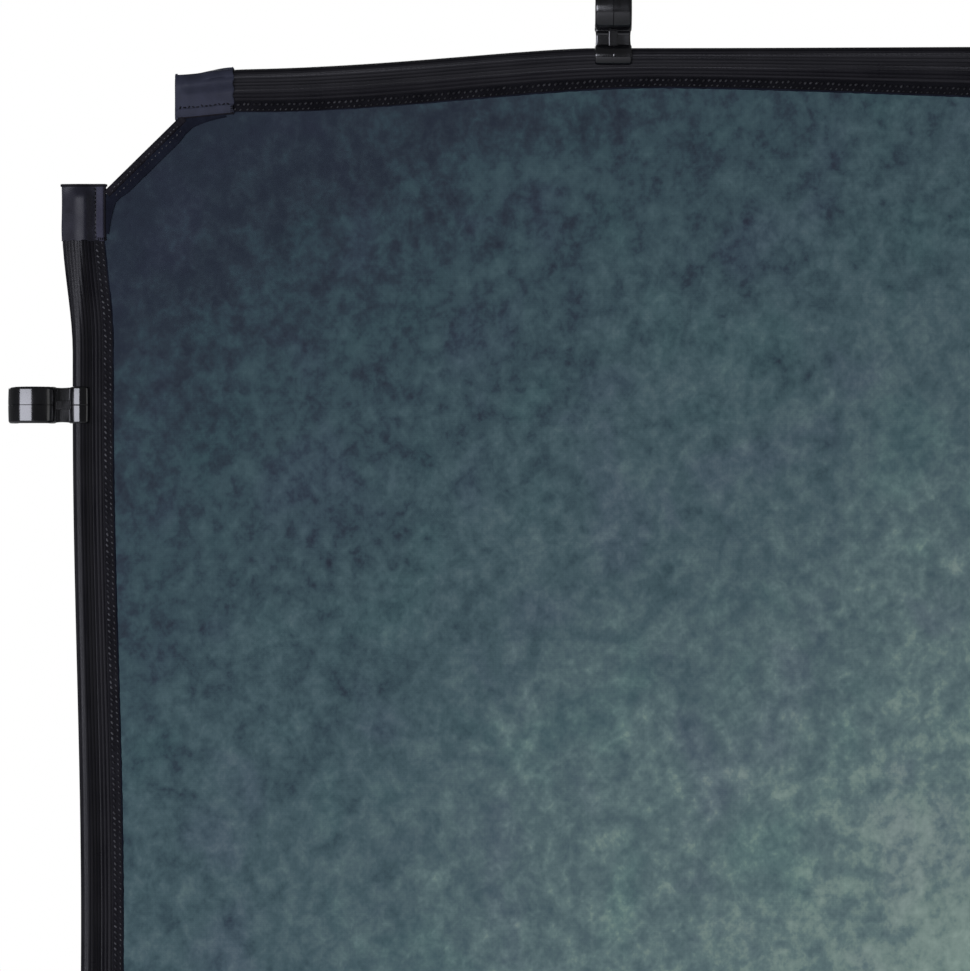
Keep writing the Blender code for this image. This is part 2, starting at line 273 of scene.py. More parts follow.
class Look:
    """A Principled material and a short way to wire nodes into it."""

    def __init__(self, name, colour, roughness, gloss=0.5, **values):
        self.material = bpy.data.materials.new(name)
        self.material.use_nodes = True
        self.tree = self.material.node_tree
        self.shader = self.tree.nodes["Principled BSDF"]
        self.set(self.shader, **{"Base Color": (*colour, 1), "Roughness": roughness,
                                 "Specular IOR Level": gloss, **values})

    def fill(self, socket, value):
        """Puts a value into a socket, or wires another node's output to it."""
        if isinstance(value, bpy.types.NodeSocket):
            self.tree.links.new(value, socket)
        else:
            socket.default_value = value

    def set(self, node, **values):
        for name, value in values.items():
            self.fill(node.inputs[name], value)
        return node

    def node(self, kind, settings=(), **values):
        made = self.tree.nodes.new("ShaderNode" + kind)
        for name, value in dict(settings).items():
            setattr(made, name, value)
        return self.set(made, **values)

    def moved(self, place, scale, turn=0.0):
        made = self.node("Mapping", Vector=place, Scale=scale)
        made.inputs["Rotation"].default_value[2] = turn
        return made.outputs["Vector"]

    def cloth_place(self, scale=(1, 1, 1), turn=0.0):
        return self.moved(self.node("UVMap", {"uv_map": "cloth"}).outputs["UV"], scale, turn)

    def object_place(self, scale=(1, 1, 1)):
        return self.moved(self.node("TexCoord").outputs["Object"], scale)

    def noise(self, place, scale, detail=3.0, rough=0.5, distortion=0.0):
        made = self.node("TexNoise", Vector=place, Scale=scale, Detail=detail,
                         Roughness=rough, Distortion=distortion)
        return made.outputs["Fac"]

    def wave(self, place, direction, scale, distortion=0.0):
        settings = {"wave_type": "BANDS", "bands_direction": direction}
        made = self.node("TexWave", settings, Vector=place, Scale=scale, Distortion=distortion)
        return made.outputs["Fac"]

    def math(self, operation, *values):
        made = self.node("Math", {"operation": operation})
        for socket, value in zip(made.inputs, values):
            self.fill(socket, value)
        return made.outputs[0]

    def spread(self, value, low, high, to_low=0.0, to_high=1.0):
        ends = {"From Min": low, "From Max": high, "To Min": to_low, "To Max": to_high}
        made = self.node("MapRange", {"interpolation_type": "SMOOTHSTEP"}, Value=value, **ends)
        return made.outputs["Result"]

    def mix(self, share, first, second, blend="MIX"):
        made = self.node("Mix", {"data_type": "RGBA", "blend_type": blend})
        for index, value in ((0, share), (6, first), (7, second)):
            self.fill(made.inputs[index], (*value, 1) if isinstance(value, tuple) else value)
        return made.outputs[2]

    def ramp(self, value, stops):
        made = self.node("ValToRGB", Fac=value)
        ramp = made.color_ramp
        while len(ramp.elements) < len(stops):
            ramp.elements.new(0.5)
        for element, (place, colour) in zip(ramp.elements, stops):
            element.position = place
            element.color = (*colour, 1)
        return made.outputs["Color"]

    def bump(self, height, distance, strength):
        made = self.node("Bump", Height=height, Distance=distance, Strength=strength)
        return made.outputs["Normal"]

    def finish(self, colour, roughness=None, normal=None):
        wired = {"Base Color": colour, "Roughness": roughness, "Normal": normal}
        self.set(self.shader, **{name: value for name, value in wired.items() if value is not None})
        return self.material


def screen(red, green, blue):
    """A colour given as it shows on a screen, 0 to 255, as linear light."""
    shares = [value / 255 for value in (red, green, blue)]
    return tuple(v / 12.92 if v <= 0.04045 else ((v + 0.055) / 1.055) ** 2.4 for v in shares)


# how far the print's pale middle reaches across and down, as a share of the panel
GLOW = (0.9, 1.02)
# the print's colours on a screen, by their distance from its middle
GLOW_END = 1.5
PRINT_COLOURS = (
    (0.0, 168, 180, 162), (0.25, 154, 169, 153), (0.38, 138, 156, 143), (0.485, 113, 132, 123),
    (0.518, 98, 118, 114), (0.551, 90, 109, 108), (0.583, 83, 102, 102), (0.616, 78, 96, 98),
    (0.65, 71, 90, 93), (0.683, 66, 85, 88), (0.716, 60, 78, 82), (0.748, 55, 72, 77),
    (0.781, 49, 62, 69), (0.815, 44, 52, 60), (0.837, 40, 47, 56), (0.92, 34, 38, 48),
)


def printed_cloth():
    """Matt stretch cloth with a mottled print, pale in the middle and dark to its edges."""
    look = Look("printed_cloth", screen(62, 82, 90), 0.9, 0.05)
    where = look.node("UVMap", {"uv_map": "cloth"}).outputs["UV"]
    parts = look.node("SeparateXYZ", Vector=where)
    square = 0.0
    for axis, (size, glow) in enumerate(zip((WIDTH, HEIGHT), GLOW)):
        off_middle = look.math("SUBTRACT", parts.outputs[axis], size / 2)
        off_middle = look.math("DIVIDE", off_middle, size / 2 / glow)
        square = look.math("MULTIPLY_ADD", off_middle, off_middle, square)
    far = look.math("SQRT", square)
    shift = 0.0
    for weight, layer in (
        (0.14, look.noise(where, 8.0, 2.0, 0.5, 0.2)),
        (0.08, look.noise(look.cloth_place((3.0, 0.4, 1)), 3.0, 2.0, 0.5)),
        (0.34, look.noise(look.cloth_place((1.08, 0.92, 1)), 36.0, 3.0, 0.55, 0.25)),
        (0.52, look.noise(look.cloth_place((1.05, 0.9, 1), 0.6), 95.0, 3.0, 0.62, 0.2)),
        (0.15, look.noise(where, 300.0, 2.0, 0.6)),
    ):
        shift = look.math("MULTIPLY_ADD", look.math("SUBTRACT", layer, 0.5), weight, shift)
    for ends in ((1.02, 1.28, 1.0, 0.44), (0.7, 0.95, 0.85, 1.0)):
        shift = look.math("MULTIPLY", shift, look.spread(far, *ends))
    place = look.math("DIVIDE", look.math("ADD", far, shift), GLOW_END)
    base = look.ramp(place, [(at, screen(*colour)) for at, *colour in PRINT_COLOURS])
    hue = look.noise(look.cloth_place((1.0, 0.8, 1)), 17.0, 3.0, 0.5, 0.4)
    cool = look.mix(look.spread(hue, 0.52, 0.72, 0.0, 0.32), base, (0.86, 1.1, 1.0), "MULTIPLY")
    rosy = look.math("MULTIPLY", look.spread(hue, 0.47, 0.3, 0.0, 0.4),
                     look.spread(far, 0.6, 0.85, 0.1, 1.0))
    tint = look.mix(rosy, cool, (1.12, 0.93, 1.1), "MULTIPLY")
    weave = look.math("MULTIPLY", look.wave(look.cloth_place(), "X", 330.0, 0.6),
                      look.wave(look.cloth_place(), "Y", 260.0, 0.6))
    return look.finish(tint, normal=look.bump(weave, 0.0001, 0.35))


def plain_back():
    look = Look("plain_cloth_back", (0.022, 0.023, 0.027), 0.92, 0.12)
    soft = look.noise(look.cloth_place(), 9.0, 3.0, 0.5)
    colour = look.mix(soft, (0.019, 0.02, 0.024), (0.03, 0.031, 0.036))
    knit = look.wave(look.cloth_place(), "DIAGONAL", 300.0, 0.8)
    return look.finish(colour, normal=look.bump(knit, 0.0001, 0.4))


def ribbed_elastic(name, gloss):
    """Black elastic: rubber cords along it, under fine thread wound across them, with painted shade
    in the valleys between the cords.
    """
    look = Look(name, (0.007, 0.007, 0.009), 0.3, gloss)
    worn = look.noise(look.cloth_place((0.3, 1, 1)), 30.0, 3.0, 0.6)
    colour = look.mix(look.spread(worn, 0.35, 0.7), (0.006, 0.0058, 0.0075),
                      (0.011, 0.0105, 0.0125))
    lines = look.noise(look.cloth_place((3.0, 0.02, 1)), 230.0, 2.0, 0.5)
    colour = look.mix(look.spread(lines, 0.45, 0.62), colour, (0.0145, 0.014, 0.016))
    parts = look.node("SeparateXYZ", Vector=look.cloth_place())
    turn = look.math("MULTIPLY", parts.outputs[0], math.pi * FRONT_RIBS / FRONT_LENGTH)
    crown = look.math("ABSOLUTE", look.math("SINE", turn))
    # painted shade: the colour falls to near black in the valleys between the cords and stays
    # lighter on their crowns
    colour = look.mix(look.spread(crown, 0.1, 0.6), (0.003, 0.003, 0.004), colour)
    picks = look.wave(look.cloth_place(), "Y", 420.0, 0.5)
    rough = look.spread(worn, 0.3, 0.7, 0.27, 0.36)
    return look.finish(colour, rough, look.bump(picks, 0.00012, 0.35))


def woven_tape(name, dark, pale, roughness, gloss):
    """A close twill tape, a little worn on its raised parts."""
    look = Look(name, dark, roughness, gloss)
    soft = look.noise(look.object_place(), 60.0, 4.0, 0.6)
    colour = look.mix(look.spread(soft, 0.3, 0.75), dark, pale)
    twill = look.wave(look.object_place(), "DIAGONAL", 480.0, 0.4)
    rough = look.spread(soft, 0.3, 0.7, roughness - 0.06, roughness + 0.08)
    return look.finish(colour, rough, look.bump(twill, 0.00008, 0.35))


def thread(name, dark, pale):
    look = Look(name, dark, 0.5, 0.1)
    twist = look.wave(look.object_place(), "DIAGONAL", 900.0)
    shade = look.noise(look.object_place(), 190.0, 2.0, 0.5)
    colour = look.mix(look.spread(shade, 0.4, 0.62), dark, pale)
    return look.finish(colour, normal=look.bump(twist, 0.0001, 0.4))


def moulded_plastic():
    """Glossy black nylon with faint flow marks and handling scratches."""
    look = Look("moulded_plastic", (0.003, 0.003, 0.0035), 0.16,
                **{"Coat Weight": 0.25, "Coat Roughness": 0.1})
    flow = look.noise(look.object_place((1, 1, 0.35)), 120.0, 3.0, 0.5)
    marks = look.noise(look.object_place((1, 0.15, 1)), 900.0, 2.0, 0.7)
    rough = look.math("ADD", look.spread(flow, 0.35, 0.7, 0.14, 0.24),
                      look.spread(marks, 0.62, 0.72, 0.0, 0.08))
    colour = look.mix(look.spread(flow, 0.4, 0.7), (0.0022, 0.0022, 0.0028),
                      (0.0045, 0.0045, 0.0055))
    return look.finish(colour, rough, look.bump(flow, 0.0003, 0.08))


def glass_rod():
    look = Look("pultruded_rod", (0.74, 0.73, 0.66), 0.42)
    strands = look.noise(look.object_place((30, 30, 0.4)), 60.0, 3.0, 0.6)
    colour = look.mix(strands, (0.66, 0.64, 0.55), (0.82, 0.81, 0.76))
    return look.finish(colour, normal=look.bump(strands, 0.0001, 0.3))


def drawn_brass():
    look = Look("drawn_brass", (0.72, 0.5, 0.22), 0.32, Metallic=1.0)
    lines = look.noise(look.object_place((0.5, 60, 60)), 60.0, 3.0, 0.6)
    colour = look.mix(lines, (0.62, 0.42, 0.18), (0.8, 0.6, 0.32))
    return look.finish(colour, look.spread(lines, 0.3, 0.7, 0.24, 0.42))


def joint_rubber():
    look = Look("joint_rubber", (0.018, 0.018, 0.019), 0.7)
    bloom = look.noise(look.object_place(), 90.0, 4.0, 0.6)
    colour = look.mix(bloom, (0.014, 0.014, 0.015), (0.03, 0.03, 0.031))
    return look.finish(colour, normal=look.bump(bloom, 0.0002, 0.3))


def pale_floor():
    """Pale, and a little brighter to the camera than the light that it casts."""
    look = Look("pale_floor", (0.82, 0.82, 0.82), 0.8)
    soft = look.noise(look.object_place(), 3.0, 3.0, 0.5)
    glow = look.math("MULTIPLY", look.node("LightPath").outputs["Is Camera Ray"], FLOOR_GLOW)
    look.set(look.shader, **{"Emission Color": (1, 1, 1, 1), "Emission Strength": glow})
    return look.finish(look.mix(soft, (0.8, 0.8, 0.8), (0.84, 0.84, 0.84)))


# ---------------------------------------------------------------- sleeves


def straight_rise(inset, outer, centre, bulge, lean):
    """Depths over cloth drawn straight from a folded edge, behind the middle, to a round top."""
    round_from, top = outer + 0.65 * (centre - outer), centre + ROUND_TOP
    steep = (bulge + lean) / ((round_from + top) / 2 - outer)
    past = np.clip(inset - round_from, 0, top - round_from)
    return steep * (np.minimum(inset, top) - outer - past ** 2 / 2 / (top - round_from)) - lean


def front_path(edge, along, samples):
    """The sleeve's front from its outermost line to the seam: insets, depths, shares."""
    centre, outer, inner = edge.rod(along), edge.outer(along), edge.seam(along)
    turn = np.linspace(0, math.pi / 2, 16)
    inset = centre - (centre - outer) * np.cos(turn)
    depth = BULGE * np.sin(turn)
    slope = np.linspace(0, SLOPE, 16)[1:]
    inset = np.append(inset, centre + slope)
    fall = (1 + np.cos(math.pi * slope / SLOPE)) / 2
    depth = np.append(depth, WEB / 2 + (BULGE - WEB / 2) * fall)
    flat = np.linspace(centre + SLOPE, inner, 9)[1:]
    inset = np.append(inset, flat)
    depth = np.append(depth, np.full(len(flat), WEB / 2))
    steps = np.hypot(np.diff(inset), np.diff(depth))
    length = np.concatenate([[0], np.cumsum(steps)])
    share = np.linspace(0, 1, samples)
    at = share * length[-1]
    inset, depth = np.interp(at, length, inset), np.interp(at, length, depth)
    flared = float(np.clip((centre - outer - BULGE) / FULL_FLARE, 0, 1))
    lean = SLEEVE_LEAN * flared
    drawn = straight_rise(inset, outer, centre, BULGE, lean)
    share_out = 1 - smooth((inset - centre) / ROUND_TOP)
    front = depth + flared * share_out * (drawn - depth)
    return inset, front, np.maximum(depth, lean * share_out), share


def rib_height(share):
    """Cords raised between fine valleys, flatter where the band is stretched on the rod."""
    phase = np.abs(np.sin(math.pi * share * FRONT_RIBS)) ** 0.8
    strength = 0.35 + 0.65 * smooth((share - 0.22) / 0.18)
    edge = 1 - smooth((share - 0.8) / 0.05)
    return RIB_DEPTH * (phase - 1) * strength * (0.25 + 0.75 * edge)


def sleeve_ring(edge, along):
    """A closed section through the sleeve, and how far round it each point lies."""
    inset, front, back, share = front_path(edge, along, FRONT_SAMPLES)
    lift = rib_height(share)
    sides = []
    for depth in (front, back):
        across, rise = np.gradient(inset), np.gradient(depth)
        size = np.hypot(across, rise)
        sides.append((inset - lift * rise / size, depth + lift * across / size))
    sides[0][1][0] = front[0]
    ring_inset = np.concatenate([sides[0][0], sides[1][0][:0:-1]])
    ring_depth = np.concatenate([-sides[0][1], sides[1][1][:0:-1]])
    round_it = np.concatenate([share, 2 - share[:0:-1]]) * FRONT_LENGTH
    return ring_inset, ring_depth, round_it


def fold_steps(first, last, pitch):
    """Places along an upright edge, closer together across a fold."""
    places = [first]
    while places[-1] < last - 1e-6:
        near = min(abs(places[-1] - fold) for fold in FOLDS)
        step = FOLD_PITCH if near < FOLD_REACH else pitch
        places.append(min(places[-1] + step, last))
    return np.array(places)


def add_sleeve(name, edge, places, looks):
    rings, uvs = [], []
    for along in places:
        inset, depth, round_it = sleeve_ring(edge, along)
        rings.append(edge.points(along, inset, depth))
        uvs.append(np.stack([round_it, np.full(len(inset), along)], -1))
    reach = np.abs((uvs[0][:, 0] + np.roll(uvs[0][:, 0], -1)) / 2 - FRONT_LENGTH)
    kinds = (reach < SEAM_BAND).astype(int) + (reach < FLAT_BAND)
    indices = np.tile(kinds, len(places) - 1).tolist() + [0, 0]
    thing = make_mesh(name, np.concatenate(rings), capped_loft(rings), np.concatenate(uvs), looks,
                      indices, sharp=60)
    return facing_out(thing)


def across_fold(thing):
    """Bakes a piece's placement into its mesh; the piece is not bent across the fold."""
    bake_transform(thing)
    return thing


def edge_runs(margin):
    """Each length of edge from a pocket's mouth and this margin: its name, edge, ends and fold.

    An upright edge has two, which meet at the panel's middle and each cross one fold.
    """
    for side, edge in EDGES.items():
        start = edge.pocket[1] + margin
        ends = (start, edge.length - start)
        if edge.upright:
            yield f"{side}_upper", edge, (ends[0], MIDDLE), 0
            yield f"{side}_lower", edge, (MIDDLE, ends[1]), 1
        else:
            yield side, edge, ends, None


def run_steps(ends, fold, pitch):
    return even_steps(*ends, pitch) if fold is None else fold_steps(*ends, pitch)


def attach(thing, run, fold):
    """Lets a piece along a run ride its body; a piece that crosses a fold is only baked in place,
    not bent.
    """
    if fold is None:
        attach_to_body(thing, UPPER if run == "top" else LOWER)
    else:
        across_fold(thing)


def add_sleeves(level_looks, upright_looks):
    for run, edge, ends, fold in edge_runs(-POCKET_LAP):
        looks = level_looks if fold is None else upright_looks
        thing = add_sleeve(f"elastic_{run}", edge, run_steps(ends, fold, SLEEVE_PITCH), looks)
        middle = [] if fold is None else [f"sleeve_{run.split('_')[0]}_middle"]
        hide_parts(f"sleeve_{run}", *middle)
        attach(thing, run, fold)


# ---------------------------------------------------------------- stitches


# rings of points on a stitch: their place along it and their girth
STITCH_RINGS = ((-0.42, 0.75), (0.0, 1.0), (0.42, 0.75))
STITCH_SIDES = 5


def stitch_points(centre, along, out, length, width):
    """A short rounded run of thread, half sunk into the cloth under it."""
    across = np.cross(out, along)
    points = []
    for place, girth in STITCH_RINGS:
        middle = centre + along * (place * length) + out * (0.25 * width * girth)
        for i in range(STITCH_SIDES):
            angle = 2 * math.pi * i / STITCH_SIDES
            swing = math.cos(angle) * across + math.sin(angle) * out
            points.append(middle + girth * width / 2 * swing)
    return points + [centre - along * length / 2, centre + along * length / 2]


def stitch_faces(start):
    rings = len(STITCH_RINGS)
    faces = loft_faces(rings, STITCH_SIDES, start=start)
    first_tip = start + rings * STITCH_SIDES
    last = start + (rings - 1) * STITCH_SIDES
    for i in range(STITCH_SIDES):
        j = (i + 1) % STITCH_SIDES
        faces.append([start + j, start + i, first_tip])
        faces.append([last + i, last + j, first_tip + 1])
    return faces


class Stitches:
    """Stitches on both faces of the cloth, gathered into one mesh."""

    def __init__(self):
        self.stitches = []

    def add(self, here, heading, lift, slant, size):
        """Adds stitches centred here, lifted off the middle and turned from their heading."""
        turned = np.reshape(slant, (-1, 1))
        for front in (-1.0, 1.0):
            out = np.array((0.0, front, 0.0))
            directions = heading * np.cos(turned) + np.cross(out, heading) * np.sin(turned)
            self.stitches += [(place, along, out, *size)
                              for place, along in zip(here + out * lift, directions)]

    def piece(self, name, look):
        points, faces = [], []
        for stitch in self.stitches:
            faces += stitch_faces(len(points))
            points += stitch_points(*stitch)
        return facing_out(make_mesh(name, points, faces, None, [look]))


SEAM_STITCH = 0.0034
# each row's distance from the seam, its slant, and its stitches' length and width
SEAM_ROWS = ((0.0012, 0.6, (0.0016, 0.00095)), (0.0042, 0.65, (0.0021, 0.0014)))


def seam_stitches(name, edge, first, last, look):
    """Two rows of slanted thread along a sleeve's seam, front and back."""
    chance = np.random.default_rng(len(name) + int(edge.length * 10))
    rows = Stitches()
    for row, (back, slant, size) in enumerate(SEAM_ROWS):
        along = np.arange(first + row * SEAM_STITCH / 2, last, SEAM_STITCH)
        along = along + chance.normal(0, 0.00022, len(along))
        inset = edge.seam(along) - back + chance.normal(0, 0.00012, len(along))
        ahead = edge.points(along + 0.001, edge.seam(along + 0.001) - back, 0.0)
        heading = ahead - edge.points(along, edge.seam(along) - back, 0.0)
        heading /= np.linalg.norm(heading, axis=1)[:, None]
        slants = slant + chance.normal(0, 0.16, len(along))
        rows.add(edge.points(along, inset, 0.0), heading, WEB / 2 - 0.0001, slants, size)
    return rows.piece(name, look)


def add_seam_stitches(level_look, upright_look):
    for run, edge, ends, fold in edge_runs(0.001):
        look = level_look if fold is None else upright_look
        attach(seam_stitches(f"seam_thread_{run}", edge, *ends, look), run, fold)


# ---------------------------------------------------------------- the printed sheet


def cut_line(offset):
    """The corner cut moved inward: (from the side, from the level edge) at its two ends."""
    (x0, d0), (x1, d1) = CORNER_CUT
    length = math.hypot(x1 - x0, d1 - d0)
    shift = np.array((d0 - d1, x1 - x0)) * offset / length
    return np.array(CORNER_CUT) + shift


def sheet_outline():
    """The sheet's edge round a corner: insets by depth down the side, and along the top."""
    side, level = EDGES["left"], EDGES["top"]
    cut = cut_line(BINDING * 0.4)
    depths = np.concatenate([[cut[1][1]], even_steps(cut[0][1], side.pocket[1], 0.006),
                             fold_steps(side.pocket[1] + 0.004, MIDDLE, 0.012)])
    places = np.concatenate([[cut[1][0]],
                             even_steps(level.pocket[0] + 0.006, level.pocket[1], 0.006),
                             even_steps(level.pocket[1] + 0.004, HALF_WIDTH, 0.012)])
    insets, tops = [
        np.where(at <= edge.pocket[1] + 1e-6, edge.outer(at) + POCKET_DEPTH, edge.seam(at))
        - SHEET_TUCK
        for edge, at in ((side, depths), (level, places))
    ]
    insets[:2] = cut[1][0], cut[0][0]
    tops[0] = cut[1][1]
    return depths, insets, places, tops


def finer(values, pitch):
    """The same places with more between those that lie far apart."""
    pieces = [even_steps(a, b, pitch)[:-1] if b - a > 1.5 * pitch else [a]
              for a, b in zip(values, values[1:])]
    return np.concatenate(pieces + [values[-1:]])


def sheet_grid(low):
    """Points of the sheet from its top edge to the panel's middle, mirrored if low."""
    depths, insets, places, tops = sheet_outline()
    rows = np.concatenate([finer(depths[:2], 0.005)[:-1], depths[1:]])
    columns = np.concatenate([places, WIDTH - places[-2::-1]])
    side = np.interp(rows, depths, insets)
    top = np.interp(np.minimum(columns, WIDTH - columns), places, tops)
    lean = 1 - 2 * (columns - columns[0]) / (columns[-1] - columns[0])
    x = columns[None, :] + lean[None, :] * (side[:, None] - columns[0])
    down = (rows - rows[0]) / (rows[-1] - rows[0])
    depth = rows[:, None] + (1 - down[:, None]) * (top[None, :] - rows[0])
    z = BOTTOM + depth if low else TOP - depth
    return x - HALF_WIDTH, z, depth


RELIEF = 0.00022


def cloth_relief(x, depth):
    """A faint slackness: long ripples over the sheet and small puckers near its seams."""
    side = np.minimum(x + HALF_WIDTH, HALF_WIDTH - x)
    near = np.exp(-np.minimum(side, depth) / 0.035)
    long_ripple = RELIEF * np.sin(9.0 * x + 4.0 * depth) * np.sin(7.0 * depth + 1.3)
    fade = np.clip((MIDDLE - depth) / 0.05, 0, 1)
    pucker = RELIEF * near * (np.sin(x * 262.0) + np.sin(depth * 251.0 + 1.0))
    return (long_ripple + pucker) * fade


def add_sheet(name, low, front_look, back_look):
    x, z, depth = sheet_grid(low)
    rows, columns = x.shape
    relief = cloth_relief(x, depth)
    front = np.stack([x, relief - SHEET / 2, z], -1).reshape(-1, 3)
    back = np.stack([x, relief + SHEET / 2, z], -1).reshape(-1, 3)
    faces = loft_faces(rows, columns, closed=False)
    count = len(front)
    grid = np.arange(count).reshape(rows, columns)
    rim = [*grid[0], *grid[1:, -1], *grid[-1, -2::-1], *grid[-2:0:-1, 0]]
    sides = [[rim[i], rim[i - 1], rim[i - 1] + count, rim[i] + count] for i in range(len(rim))]
    all_faces = faces + [[f + count for f in face[::-1]] for face in faces] + sides
    indices = [0] * len(faces) + [1] * (len(faces) + len(sides))
    uv = np.stack([x + HALF_WIDTH, TOP - z], -1).reshape(-1, 2)
    thing = make_mesh(name, np.concatenate([front, back]), all_faces, np.concatenate([uv, uv]),
                      [front_look, back_look], indices, sharp=40)
    return facing_out(thing)


def add_sheets(front_look, back_look):
    for fold, half in enumerate(("upper", "lower")):
        thing = add_sheet(f"printed_sheet_{half}", bool(fold), front_look, back_look)
        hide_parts(f"fabric_{half}", "fabric_middle")
        across_fold(thing)


# ---------------------------------------------------------------- seam piping


PIPING = (0.0012, 0.0009)


def add_piping(name, edge, places, look):
    """The sheet's rolled hem, which shows as a narrow line beside the elastic."""
    turn = np.linspace(0, 2 * math.pi, 12, endpoint=False)
    rings = []
    for along in places:
        girth = 1 + 0.1 * math.sin(along * 900) + 0.06 * math.sin(along * 2130)
        inset = edge.seam(along) - 0.0002 + PIPING[0] * girth * np.cos(turn)
        rings.append(edge.points(along, inset, PIPING[1] * np.sin(turn)))
    return add_bound_tube(name, rings, look, 60)


def add_all_piping(look):
    for run, edge, ends, fold in edge_runs(-0.003):
        places = run_steps(ends, fold, PIPING_PITCH)
        attach(add_piping(f"seam_piping_{run}", edge, places, look), run, fold)


# ---------------------------------------------------------------- pockets


POCKET_BULGE = 0.0054
POCKET_WEB = 0.0030
POCKET_WALL = 0.0006
POCKET_RIM = 0.0007
FLAT_POCKET_BULGE = 0.0021
POCKET_BACK_BULGE = 0.0051
# the stitched strip's far and near line, and its seam, from the pocket's inner edge
STRIP = (0.0062, 0.0016)
STRIP_SEAM = 0.0066
MOUTH_WALL_ROWS = 7
# a ring past the hem, where the pocket has its whole section
FULL_ROW = 8


def pocket_front(edge, along, from_end, shrink, spread):
    """A pocket's front from its outermost line to its inner edge, as insets and depths."""
    filled = float(smooth(np.array(from_end / 0.009)))
    centre = edge.rod(along)
    mouth = edge.mouth_flare * float(smooth(np.array((from_end - 0.012) / 0.02)))
    outer = edge.outer(along) - mouth - spread + shrink
    inner = edge.outer(along) + POCKET_DEPTH + spread - shrink
    bulge = FLAT_POCKET_BULGE + (POCKET_BULGE - FLAT_POCKET_BULGE) * filled - shrink
    web = POCKET_WEB / 2 - shrink
    lean = 0.002 * filled * (centre - outer) / 0.0115
    top, foot = centre + ROUND_TOP, centre + SLOPE
    inset = np.concatenate([np.linspace(outer, top, 24), np.linspace(top, foot, 14)[1:],
                            np.linspace(foot, inner - POCKET_RIM, 28)[1:]])
    rise = straight_rise(inset, outer, centre, bulge, lean)
    if not edge.upright:
        tube = np.sqrt(np.clip((BULGE + 0.0008 - shrink) ** 2 - (centre - inset) ** 2, 0, None))
        over_elastic = float(smooth(np.array((from_end - 0.014) / 0.012)))
        rise = rise + over_elastic * np.where(inset < centre, np.maximum(tube - rise, 0), 0)
    share = np.clip((inset - top) / (foot - top), 0, 1)
    depth = web + (rise - web) * (1 + np.cos(math.pi * share)) / 2
    rim = np.linspace(0, math.pi / 2, 5)[1:]
    inset = np.append(inset, inner - POCKET_RIM * (1 - np.sin(rim)))
    depth = np.append(depth, web * np.cos(rim))
    if not shrink:
        back = inner - inset
        strip = smooth((STRIP[0] - back) / 0.0004) * smooth((back - STRIP[1]) / 0.0004)
        seam = np.exp(-((back - STRIP_SEAM) / 0.0005) ** 2)
        pull = 0.6 + 0.4 * math.cos(2 * math.pi * along / 0.0026)
        dent = np.exp(-((inset - centre - 0.009) / 0.0035) ** 2) * math.sin(along * 190 + 0.7)
        swell = np.exp(-((inset - centre) / 0.004) ** 2) * math.sin(along * 310)
        depth = depth + 0.0004 * strip - 0.0003 * seam * pull
        depth = depth + 0.00035 * dent + 0.00012 * swell * filled
        depth[-1] = 0.0
    return inset, depth


def pocket_back(front, inset, edge, along, shrink):
    """The pocket's flatter back, from the same outermost line to the same inner edge."""
    centre = edge.rod(along)
    start, bulge, web = -front[0], POCKET_BACK_BULGE - shrink, POCKET_WEB / 2 - shrink
    up = np.clip((inset - inset[0]) / (centre - inset[0]), 0, 1)
    down = smooth((inset - centre) / SLOPE)
    depth = start + (max(bulge, start) - start) * np.sqrt(up * (2 - up))
    depth = depth + (np.maximum(web, 0) - depth) * down
    return np.where(np.arange(len(inset)) >= len(inset) - 4, front, depth)


def pocket_rows(first, last):
    """Rings from the sewn end to the mouth and back inside: place, shrink and spread."""
    rows = [(0.0002, 0.0, -0.0003), (0.0004, 0.0, 0.0006), (0.0016, 0.0, 0.0007), (0.002, 0.0, 0.0)]
    rows = [(first + place, shrink, spread) for place, shrink, spread in rows]
    rows += [(place, 0.0, 0.0) for place in np.arange(first + 0.0028, last - 0.0006, 0.0009)]
    rows += [(last - 0.0003, 0.0, 0.0002), (last, 0.0002, 0.0), (last, POCKET_WALL, 0.0)]
    rows += [(place, POCKET_WALL, 0.0) for place in np.arange(last - 0.002, first + 0.006, -0.003)]
    return rows


def add_pocket(name, edge, far, looks):
    """A flat tape pocket, sewn shut and hemmed toward the corner and open to the elastic."""
    first, last = edge.pocket
    rings = []
    for place, shrink, spread in pocket_rows(first, last):
        along = edge.length - place if far else place
        inset, depth = pocket_front(edge, along, place - first, shrink, spread)
        behind = pocket_back(depth, inset, edge, along, shrink)
        loop_inset = np.concatenate([inset, inset[-2:0:-1]])
        loop_depth = np.concatenate([-depth, behind[-2:0:-1]])
        near_mouth = math.exp(-((last - place) / 0.002) ** 2)
        wave = 0.0004 * near_mouth * np.sin(loop_inset * 900 + 2 * np.sign(loop_depth))
        rings.append(edge.points(along + (-wave if far else wave), loop_inset, loop_depth))
    tape, strip, black = 0, 1, 2
    full_ring = rings[FULL_ROW]
    reach = np.abs((full_ring - full_ring[len(inset) - 1]) @ edge.inward)
    kinds = np.where(reach <= STRIP[1], black, np.where(reach < STRIP[0] - 0.0004, strip, tape))
    indices = np.tile(kinds, (len(rings) - 1, 1))
    # painted shade: on an upright pocket the rows of the folded, sewn end take the black tape, for
    # the shade along that edge
    indices[:3] = black if edge.upright else tape
    # painted shade: the pocket's inner wall, seen through its mouth, takes the black tape
    indices[-MOUTH_WALL_ROWS:] = black
    thing = make_mesh(name, np.concatenate(rings), capped_loft(rings), None, looks,
                      [*indices.ravel(), black, black], sharp=50)
    return facing_out(thing)


